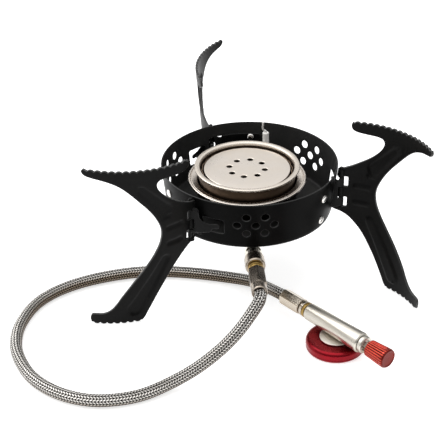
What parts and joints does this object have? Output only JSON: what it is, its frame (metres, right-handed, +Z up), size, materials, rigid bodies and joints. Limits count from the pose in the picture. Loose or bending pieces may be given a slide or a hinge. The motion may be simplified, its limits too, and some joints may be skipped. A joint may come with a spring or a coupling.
{
  "type": "remote canister stove",
  "caption": "Low folding gas stove: burner in a perforated wind bowl on curved toothed legs, braided hose to a lying valve with a canister collar and a fluted knob.",
  "frame": {"origin": "on the floor under the middle of the box round the open stove, without the hose and the valve", "axes": "+Z up; +X to the right and -Y towards the side where the hose leaves; the legs stand open"},
  "size_m": [0.2445, 0.2591, 0.107],
  "materials": {
    "black": "satin black coated steel",
    "stainless": "satin stainless",
    "nickel": "satin nickel plate",
    "bright": "bright steel",
    "brass": "plain brass",
    "red": "red anodised",
    "braid": "woven stainless wire",
    "rubber": "black nitrile",
    "ceramic": "white glazed ceramic"
  },
  "bodies": {
    "stove": {"bowl": "black", "bracket_right": "black", "rivet_upper_right": "bright", "rivet_lower_right": "bright", "pin_right": "black", "bracket_left": "black", "rivet_upper_left": "bright", "rivet_lower_left": "bright", "pin_left": "black", "bracket_back": "black", "rivet_upper_back": "bright", "rivet_lower_back": "bright", "pin_back": "black", "burner_pan": "stainless", "burner_cup": "stainless", "mixing_neck": "nickel", "flame_ring": "stainless", "burner_cap": "stainless", "spark_insulator": "ceramic", "spark_wire": "bright", "mixing_tube": "nickel", "mixing_elbow": "nickel", "jet_holder": "nickel", "gas_jet": "brass", "seal_ring_jet": "brass", "hose_nut_jet": "nickel", "hose_ferrule": "nickel", "hose": "braid", "hose_nut_valve": "nickel", "hose_tail_valve": "nickel", "seal_ring_valve": "brass", "valve_body": "nickel", "gland_nut": "nickel", "spindle_seal": "rubber", "valve_boss": "nickel", "canister_collar": "red", "thread_insert": "brass", "canister_seal": "rubber", "opening_pin": "brass"},
    "leg_right": {"leg_right": "black"},
    "leg_left": {"leg_left": "black"},
    "leg_back": {"leg_back": "black"},
    "knob": {"knob": "red", "spindle": "bright"}
  },
  "joints": [
    {"name": "fold_right", "type": "hinge", "parent": "stove", "child": "leg_right", "pos_m": [0.05054, -0.02824, 0.058], "axis": [0, 0, 1], "range_deg": [-88, 0]},
    {"name": "fold_left", "type": "hinge", "parent": "stove", "child": "leg_left", "pos_m": [-0.03958, -0.06603, 0.058], "axis": [0, 0, 1], "range_deg": [-32, 0]},
    {"name": "fold_back", "type": "hinge", "parent": "stove", "child": "leg_back", "pos_m": [-0.02991, 0.0283, 0.058], "axis": [0, 0, 1], "range_deg": [-88, 0]},
    {"name": "turn_knob", "type": "hinge", "parent": "stove", "child": "knob", "pos_m": [0.06745, -0.13417, 0.0136], "axis": [0.6691, -0.7431, 0], "range_deg": [0, 1080]}
  ]
}
